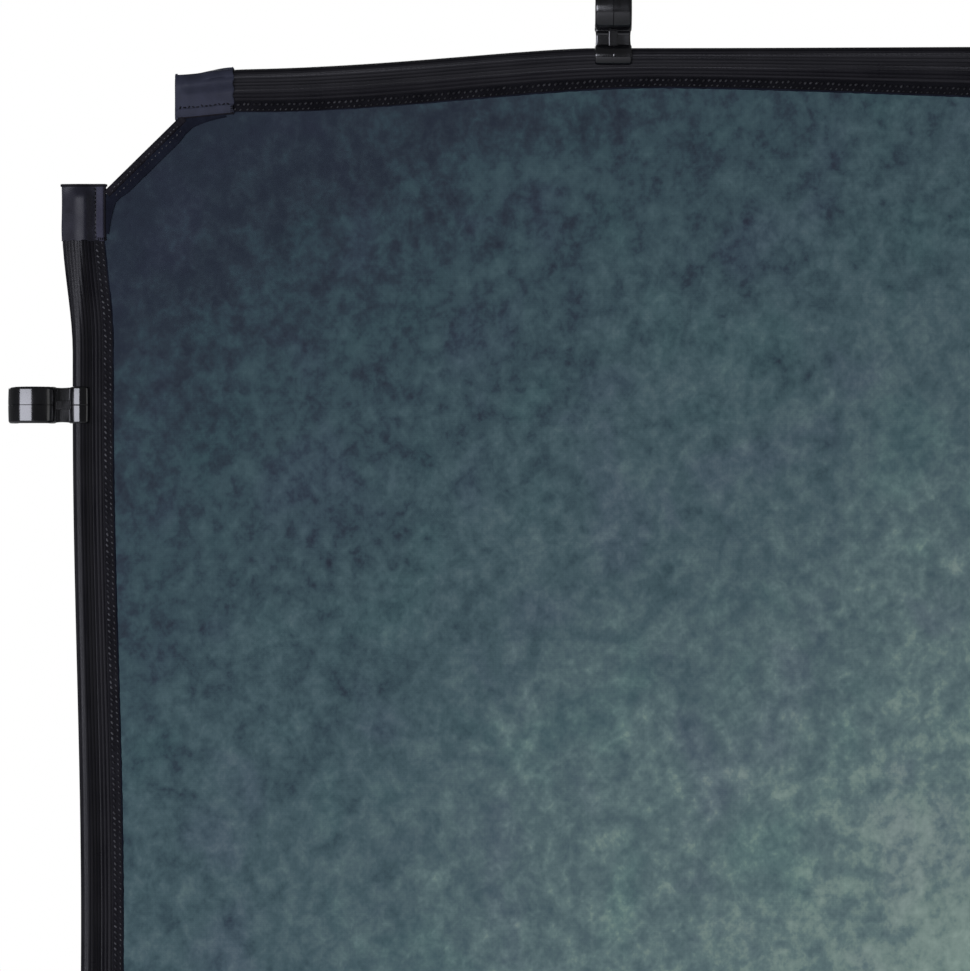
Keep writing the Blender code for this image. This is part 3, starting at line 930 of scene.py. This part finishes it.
def pocket_thread(name, edge, far, look):
    """Thread along the pocket's strip, and tacked at its mouth."""
    first, last = edge.pocket
    size = (0.002, 0.0009)
    chance = np.random.default_rng(len(name))
    rows = Stitches()
    place = np.arange(first + 0.0034, last - 0.001, 0.0026)
    along = edge.length - place if far else place
    inset = edge.outer(along) + POCKET_DEPTH - STRIP_SEAM + chance.normal(0, 0.00015, len(along))
    slant = chance.normal(0, 0.3, len(along)) + 0.35 * (-1) ** np.arange(len(along))
    rows.add(edge.points(along, inset, 0.0), edge.along, POCKET_WEB / 2 - 0.0002, slant, size)
    inset = np.arange(0.0012, 0.0055, 0.0012) + edge.outer(along[-1]) + POCKET_DEPTH - STRIP[0]
    tack = edge.length - last + 0.0011 if far else last - 0.0011
    rows.add(edge.points(tack, inset, 0.0), edge.along, POCKET_WEB / 2 + 0.0002,
             np.full(len(inset), 0.15), size)
    return rows.piece(name, look)


def add_pockets(level_looks, upright_looks, thread_look):
    for side, edge in EDGES.items():
        looks = upright_looks if edge.upright else level_looks
        for far, end in enumerate(("top", "bottom") if edge.upright else ("left", "right")):
            body = LOWER if "bottom" in (side, end) else UPPER
            thing = add_pocket(f"tape_pocket_{side}_{end}", edge, bool(far), looks)
            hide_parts(f"pocket_{side}_{end}")
            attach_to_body(thing, body)
            stitches = pocket_thread(f"pocket_thread_{side}_{end}", edge, bool(far), thread_look)
            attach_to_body(stitches, body)


# ---------------------------------------------------------------- corner tape


def corner_place(right, low, from_side, from_level, y):
    """World points at distances from the nearer upright line and the nearer level line."""
    x = HALF_WIDTH - from_side if right else from_side - HALF_WIDTH
    z = BOTTOM + from_level if low else TOP - from_level
    return np.stack(np.broadcast_arrays(x, y, z), -1)


def cut_directions():
    start, end = np.array(CORNER_CUT)
    along = (end - start) / np.linalg.norm(end - start)
    return start, end, along, np.array((-along[1], along[0]))


def squared(wave):
    """A sine or cosine flattened toward its ends, so that a ring of it is nearly square."""
    return np.sign(wave) * np.abs(wave) ** 0.55


def add_binding(name, right, low, look):
    """Tape folded over the sheet's cut corner, a little puckered by its stitching."""
    start, end, along, inward = cut_directions()
    turn = np.linspace(0, 2 * math.pi, 20, endpoint=False)
    half = BINDING / 2 + 0.0002
    rings = []
    for place in even_steps(-0.0028, np.linalg.norm(end - start) + 0.0046, 0.0008):
        pucker = 1 + 0.05 * math.sin(place * 2400) + 0.03 * math.sin(place * 1130)
        line = start + along * place + inward * (half + half * squared(np.cos(turn)))[:, None]
        deep = 0.0016 * pucker * squared(np.sin(turn))
        rings.append(corner_place(right, low, line[:, 0], line[:, 1], deep))
    return add_bound_tube(name, rings, look, 60)


def eased(values, reach=8):
    """Each value averaged with its neighbours on both sides."""
    padded = np.pad(values, reach, mode="edge")
    return np.convolve(padded, np.ones(2 * reach + 1) / (2 * reach + 1), mode="valid")


def facing_line():
    """The facing's outer line round a corner: places, points, inward directions and widths."""
    side, level = EDGES["left"], EDGES["top"]
    start, end, along, inward = cut_directions()
    side_x = side.outer(side.pocket[1]) + POCKET_DEPTH - 0.001
    beside = inward * 0.0015
    stops = [
        ((side_x, side.pocket[1] - 0.004), (1, 0), 0.002),
        ((side_x, start[1] + 0.014), (1, 0.1), 0.0042),
        ((side_x, start[1] + 0.006), (1, 0.35), 0.0072),
        (start + beside, inward, 0.0098),
        (start + along * 0.02 + beside, inward, 0.0096),
        (end + beside, inward, 0.0098),
    ]
    for place, lean, width in ((0.07, 0.2, 0.0064), (0.08, 0, 0.0042), (0.092, 0, 0.002)):
        stops.append(((place, float(level.outer(place)) + POCKET_DEPTH - 0.001), (lean, 1), width))
    points, inwards, widths = [np.array([stop[i] for stop in stops], float) for i in range(3)]
    steps = np.linalg.norm(np.diff(points, axis=0), axis=1)
    at = np.concatenate([[0], np.cumsum(steps)])
    fine = even_steps(0, at[-1], 0.0012)
    line = np.stack([np.interp(fine, at, column) for column in points.T], -1)
    turned = np.stack([eased(np.interp(fine, at, column)) for column in inwards.T], -1)
    turned /= np.linalg.norm(turned, axis=1)[:, None]
    return fine, line, turned, eased(np.interp(fine, at, widths))


FACING_ROWS = (0.0, 0.04, 0.1, 0.2, 0.35, 0.5, 0.62, 0.7, 0.76, 0.82, 0.9, 0.96, 1.0)


def add_facing(name, right, low, look):
    """A flat tape under the binding, which strengthens the corner between the pockets."""
    share = np.array(FACING_ROWS)
    hem = 0.0002 * np.exp(-((share - 0.9) / 0.1) ** 2)
    hem = hem - 0.00015 * np.exp(-((share - 0.74) / 0.03) ** 2)
    rings = []
    for place, at, inward, width in zip(*facing_line()):
        deep = 0.0011 + hem + 0.00008 * math.sin(place * 1500)
        deep[0] = deep[-1] = 0.0002
        points = at[None, :] + inward[None, :] * (share * width)[:, None]
        front = corner_place(right, low, points[:, 0], points[:, 1], -deep)
        back = corner_place(right, low, points[::-1, 0], points[::-1, 1], deep[::-1])
        rings.append(np.concatenate([front, back]))
    return add_bound_tube(name, rings, look, 40)


def corner_thread(name, right, low, look):
    """Two rows of small stitches: one through the binding and one by the facing's hem."""
    start, end, along, inward = cut_directions()
    length = np.linalg.norm(end - start)
    chance = np.random.default_rng(3 + right + 2 * low)
    flip = np.array((-1.0 if right else 1.0, 0.0, 1.0 if low else -1.0))
    heading = np.array((along[0], 0.0, along[1])) * flip
    rows = Stitches()
    for offset, lift, pitch in ((0.0031, 0.0015, 0.0026), (0.0068, 0.001, 0.0030)):
        at = np.arange(0.001, length - 0.001, pitch)
        offsets = offset + chance.normal(0, 0.0002, len(at))
        line = start + along * at[:, None] + inward * offsets[:, None]
        slants = 0.1 + chance.normal(0, 0.25, len(at))
        rows.add(corner_place(right, low, line[:, 0], line[:, 1], 0.0), heading, lift, slants,
                 (0.0013, 0.0006))
    return rows.piece(name, look)


def add_corners(binding_look, facing_look, thread_look):
    for low, (level, body) in enumerate((("top", UPPER), ("bottom", LOWER))):
        for right, side in enumerate(("left", "right")):
            where = f"{level}_{side}"
            binding = add_binding(f"corner_tape_{where}", right, low, binding_look)
            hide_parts(f"corner_binding_{where}")
            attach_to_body(binding, body)
            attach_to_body(add_facing(f"corner_facing_{where}", right, low, facing_look), body)
            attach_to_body(corner_thread(f"corner_thread_{where}", right, low, thread_look), body)


# ---------------------------------------------------------------- clips


CLIP_WIDTH = 0.022
JAW_REACH = 0.0282
# each jaw's inner and outer radius, and the degrees that its arc runs from and to
SMALL_JAW = (0.00465, 0.0067, 204, 437)
LARGE_JAW = (0.0112, 0.0147, 142, 398)
NECK = (0.00505, 0.0162)
WALL_CROWN = 0.00028
LIP_CORNER = 0.0022
CLIP_FILLET = 0.0015


def wall_section(wall, half_width, fillet, groove):
    """Round a moulded wall: offsets through it and along the clip's width."""
    fillet = min(fillet, wall * 0.49)
    small = fillet * 0.5
    rim_start = half_width - fillet
    face = np.concatenate([[rim_start], np.linspace(rim_start - 0.00012, 0.0005, 6), [0.00022]])
    outer = [(wall / 2 - WALL_CROWN * (z / half_width) ** 2, z) for z in face]
    outer.append((wall / 2 - groove, 0.0))
    outer += [(r, -z) for r, z in outer[-2::-1]]
    turn = [(math.sin(t), math.cos(t)) for t in np.linspace(0, math.pi / 2, 6)[1:]]
    crown = wall / 2 - WALL_CROWN
    rim = [(crown - fillet * (1 - c), -half_width + fillet * (1 - s)) for s, c in turn]
    heel = [(-wall / 2 + small * (1 - s), -half_width + small * (1 - c)) for s, c in turn]
    heel.append((-wall / 2, -half_width + small + 0.00012))
    upper = [(r, -z) for r, z in (rim + heel)[::-1]]
    return np.array(outer + rim + heel + upper)


def jaw_rings(centre_x, jaw, step, groove):
    """A jaw as rings round its arc, with rounded lips and rounded lip corners."""
    inner, outer, first, last = jaw
    middle, wall = (inner + outer) / 2, outer - inner
    angles = list(np.radians(even_steps(first, last, step)))
    sizes = [1.0] * len(angles)
    for turn in np.radians((30, 55, 75, 88)):
        reach = math.sin(turn) * wall / 2 / middle
        angles = [math.radians(first) - reach] + angles + [math.radians(last) + reach]
        sizes = [math.cos(turn)] + sizes + [math.cos(turn)]
    tips = (angles[0], angles[-1])
    rings = []
    for angle, size in zip(angles, sizes):
        near = min(abs(angle - tip) for tip in tips) * middle
        cut = LIP_CORNER * (1 - math.sqrt(max(0.0, 1 - max(0.0, 1 - near / LIP_CORNER) ** 2)))
        section = wall_section(wall, CLIP_WIDTH / 2 - cut, CLIP_FILLET, groove)
        radius = middle + section[:, 0] * size
        x, y = centre_x + radius * math.cos(angle), radius * math.sin(angle)
        rings.append(np.stack([x, y, section[:, 1]], -1))
    return rings


def block_section(half_deep, half_wide, corner):
    """A rounded rectangle: depths and widths."""
    corner = min(corner, half_deep * 0.95, half_wide * 0.95)
    arcs = []
    for sx, sz, first in ((1, 1, 0), (-1, 1, 90), (-1, -1, 180), (1, -1, 270)):
        turn = np.radians(np.linspace(first, first + 90, 5))
        arcs.append(np.stack([sx * (half_deep - corner) + corner * np.cos(turn),
                              sz * (half_wide - corner) + corner * np.sin(turn)], -1))
    points = []
    for i, arc in enumerate(arcs):
        ahead = arcs[(i + 1) % 4][0]
        shares = np.array((0.015, 0.25, 0.5, 0.75, 0.985))[:, None]
        points += [arc, arc[-1] + shares * (ahead - arc[-1])]
    return np.concatenate(points)


def flare(x, radius, surface, sign):
    """How far a fillet of this radius lifts a face, near the surface it runs into."""
    near = (x - surface) * sign
    if near >= radius:
        return 0.0
    return radius - math.sqrt(max(0.0, radius ** 2 - (radius - max(near, 0.0)) ** 2))


def neck_rings(shape):
    """Rings along the neck, each the section that shape gives at its x and share of the way."""
    rings = []
    for x in even_steps(*NECK, 0.0004):
        section = block_section(*shape(x, (x - NECK[0]) / (NECK[1] - NECK[0])))
        rings.append(np.column_stack([np.full(len(section), x), section]))
    return rings


def neck_shape(x, share):
    draft = 0.085 * (x - NECK[0])
    deep = 0.0018 + draft + flare(x, 0.0026, JAW_REACH - LARGE_JAW[1] + 0.0007, -1)
    return deep, CLIP_WIDTH / 2 - 0.0003 - 0.0004 * math.sin(math.pi * share), 0.0008


def rib_shape(x, share):
    return 0.0036 + 0.001 * share, 0.0027, 0.0004


def clip_shape():
    """Points and faces of the whole clip, on its rod's axis and reaching along local X."""
    points, faces = [], []
    large = jaw_rings(JAW_REACH, LARGE_JAW, 4.0, 0.00022)
    small = jaw_rings(0.0, SMALL_JAW, 7.0, 0.00012)
    for rings in (large, small, neck_rings(neck_shape), neck_rings(rib_shape)):
        start = sum(len(ring) for ring in points)
        faces += [[start + corner for corner in face] for face in capped_loft(rings)]
        points += rings
    return np.concatenate(points), faces


def add_clips(look):
    points, faces = clip_shape()
    for side, edge in EDGES.items():
        turn = math.atan2(edge.inward[2], -edge.inward[0])
        c, s = math.cos(turn), math.sin(turn)
        turned = points @ np.array(((c, 0, s), (0, 1, 0), (-s, 0, c))).T
        for number in range(1, len(edge.clips) + 1):
            clip = f"clip_{side}_{number}"
            here = turned + np.array(joint_point(f"{clip}_swivel"))
            thing = facing_out(make_mesh(f"moulded_{clip}", here, faces, None, [look], sharp=38))
            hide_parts(clip)
            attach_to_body(thing, clip)


# ---------------------------------------------------------------- joint tubes


TUBE_OUTER = 0.00325
TUBE_INNER = 0.0028
TUBE_GRIP = 0.025


def tube_ring(edge, place, radius):
    turn = np.linspace(0, 2 * math.pi, 24, endpoint=False)
    return edge.points(place, edge.rod(place) + radius * np.cos(turn), radius * np.sin(turn))


def add_joint_tube(name, edge, fold, look):
    """A flexible tube that joins the rods across a fold, with fine moulded grip rings."""
    reach = math.pi * FOLD_RADII[fold] / 2 + TUBE_GRIP
    places = list(even_steps(FOLDS[fold] - reach, FOLDS[fold] + reach, 0.0005))
    rings = []
    for place in places:
        ring = 0.00008 * (0.5 + 0.5 * math.cos(2 * math.pi * (place - FOLDS[fold]) / 0.003))
        end = min(place - places[0], places[-1] - place)
        radius = TUBE_OUTER - ring - 0.00015 * math.exp(-end / 0.0005)
        rings.append(tube_ring(edge, place, radius))
    rings += [tube_ring(edge, place, TUBE_INNER) for place in [*places[::-12], places[0]]]
    count, columns = len(rings), len(rings[0])
    faces = np.array(loft_faces(count + 1, columns)) % (count * columns)
    thing = make_mesh(name, np.concatenate(rings), faces, None, [look], sharp=40)
    return facing_out(thing)


def add_joint_tubes(look):
    for side in ("left", "right"):
        for fold, half in enumerate(("upper", "lower")):
            thing = add_joint_tube(f"flexible_tube_{side}_{half}", EDGES[side], fold, look)
            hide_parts(f"joint_tube_{side}_{half}")
            across_fold(thing)


# ---------------------------------------------------------------- camera, light and floor


# the picture's centre, from the panel's left and top lines
VIEW_CENTRE = (0.2472, 0.2622)
VIEW_WIDTH = 0.582
LENS = 200.0
SENSOR = 36.0
# each lamp's azimuth, elevation, distance, size, radiance and colour
LAMPS = {
    "key": (-31.0, 1.0, 6.0, (6.4, 1.95), 9.0, (0.95, 0.965, 1.085)),
    "fill": (84.0, 4.0, 6.0, (1.5, 2.6), 1.1, (1, 1, 1)),
    "rim": (128.0, 4.0, 6.0, (4.0, 3.0), 0.7, (1, 1, 1)),
    "rear": (-160.0, 25.0, 7.0, (5.0, 4.0), 2.5, (1, 1, 1)),
}
# the point they face, near the corner that the camera sees
LAMP_TARGET = (-0.95, 0, TOP - 0.4)
WORLD_LIGHT = 0.14
FLOOR_GLOW = 0.42
FLOOR_DROP = 0.12
FLOOR_HALF = 6


def add_camera():
    data = bpy.data.cameras.new("camera")
    data.lens = LENS
    data.sensor_width = SENSOR
    camera = bpy.data.objects.new("camera", data)
    away = VIEW_WIDTH * LENS / SENSOR
    camera.location = (VIEW_CENTRE[0] - HALF_WIDTH, -away, TOP - VIEW_CENTRE[1])
    camera.rotation_euler = (math.pi / 2, 0, 0)
    data.clip_end = 100.0
    bpy.context.scene.collection.objects.link(camera)
    bpy.context.scene.camera = camera


def add_softbox(name, azimuth, elevation, distance, size, radiance, colour):
    """A soft lamp that faces the photographed corner from this direction."""
    data = bpy.data.lights.new(name, "AREA")
    data.shape = "RECTANGLE"
    data.size, data.size_y = size
    data.energy = radiance * math.pi * size[0] * size[1]
    data.color = colour
    lamp = bpy.data.objects.new(name, data)
    a, e = math.radians(azimuth), math.radians(elevation)
    back = Vector((math.sin(a) * math.cos(e), -math.cos(a) * math.cos(e), math.sin(e)))
    lamp.location = Vector(LAMP_TARGET) + back * distance
    lamp.rotation_euler = back.to_track_quat("Z", "Y").to_euler()
    bpy.context.scene.collection.objects.link(lamp)


def add_world():
    """White to look at, and dim to be lit by, as a white sweep behind dark flags is."""
    world = bpy.data.worlds.new("studio")
    world.use_nodes = True
    nodes, links = world.node_tree.nodes, world.node_tree.links
    seen, lit = nodes["Background"], nodes.new("ShaderNodeBackground")
    lights = ((seen, (1, 1, 1, 1), 1.0), (lit, (0.95, 0.97, 1.0, 1), WORLD_LIGHT))
    for node, colour, strength in lights:
        node.inputs["Color"].default_value = colour
        node.inputs["Strength"].default_value = strength
    both = nodes.new("ShaderNodeMixShader")
    ray = nodes.new("ShaderNodeLightPath").outputs["Is Camera Ray"]
    for socket, output in zip(both.inputs, (ray, lit.outputs[0], seen.outputs[0])):
        links.new(output, socket)
    links.new(both.outputs[0], nodes["World Output"].inputs["Surface"])
    bpy.context.scene.world = world
    bpy.context.scene.view_settings.view_transform = "Standard"


def add_studio():
    for name, lamp in LAMPS.items():
        add_softbox(name, *lamp)
    z = CAD_BOX[0].z - FLOOR_DROP
    points = [(x * FLOOR_HALF, y * FLOOR_HALF, z) for x, y in ((-1, -1), (1, -1), (1, 1), (-1, 1))]
    make_mesh("floor", points, [(0, 1, 2, 3)], None, [pale_floor()])


def dress_carried_nodes():
    """The parts inside the sleeves keep their own shapes and take better finishes."""
    looks = {"rod": glass_rod(), "ferrule": drawn_brass()}
    for node, thing in frame["nodes"].items():
        look = looks.get(node.split("_")[0])
        for slot in thing.material_slots if look else ():
            slot.material = look


def main():
    add_camera()
    add_world()
    add_studio()
    dress_carried_nodes()
    elastic = [ribbed_elastic("ribbed_elastic", 0.14), ribbed_elastic("flat_elastic", 0.04)]
    # painted shade: the level edges' seam band is a darker copy of the upright edges' band, for the
    # weaker light on the level edges
    level_band_painted_shade = woven_tape("level_band_painted_shade", (0.004, 0.004, 0.0052), (0.0078, 0.0076, 0.0095),
                            0.85, 0.03)
    upright_band = woven_tape("upright_band", (0.0075, 0.0073, 0.009), (0.0125, 0.0122, 0.0145),
                              0.85, 0.03)
    add_sleeves([*elastic, level_band_painted_shade], [*elastic, upright_band])
    seam_thread = thread("seam_thread", (0.025, 0.025, 0.029), (0.085, 0.085, 0.092))
    # painted shade: the level edges' thread is a darker copy of the upright edges' thread, for the
    # weaker light on the level edges
    add_seam_stitches(thread("level_thread_painted_shade", (0.01, 0.01, 0.0115), (0.034, 0.034, 0.037)),
                      thread("upright_thread", (0.0195, 0.0195, 0.0225), (0.066, 0.066, 0.071)))
    add_sheets(printed_cloth(), plain_back())
    navy = woven_tape("navy_tape", screen(16, 18, 27), screen(25, 28, 38), 0.7, 0.03)
    black = woven_tape("black_binding", screen(13, 12, 16), screen(27, 25, 31), 0.55, 0.06)
    tape = woven_tape("pocket_tape", screen(25, 25, 32), screen(35, 35, 43), 0.44, 0.2)
    strip = woven_tape("pocket_strip", screen(46, 46, 58), screen(58, 58, 71), 0.5, 0.08)
    dark_thread = thread("dark_thread", (0.003, 0.003, 0.004), (0.012, 0.012, 0.016))
    add_all_piping(navy)
    # painted light: the level pockets take a lighter copy of the upright pockets' tape, for how
    # light falls on them
    level = woven_tape("level_pocket_tape_painted_light", screen(40, 42, 52), screen(51, 53, 65), 0.5, 0.08)
    add_pockets([level, level, black], [tape, strip, black], dark_thread)
    add_corners(black, navy, seam_thread)
    add_clips(moulded_plastic())
    add_joint_tubes(joint_rubber())


main()
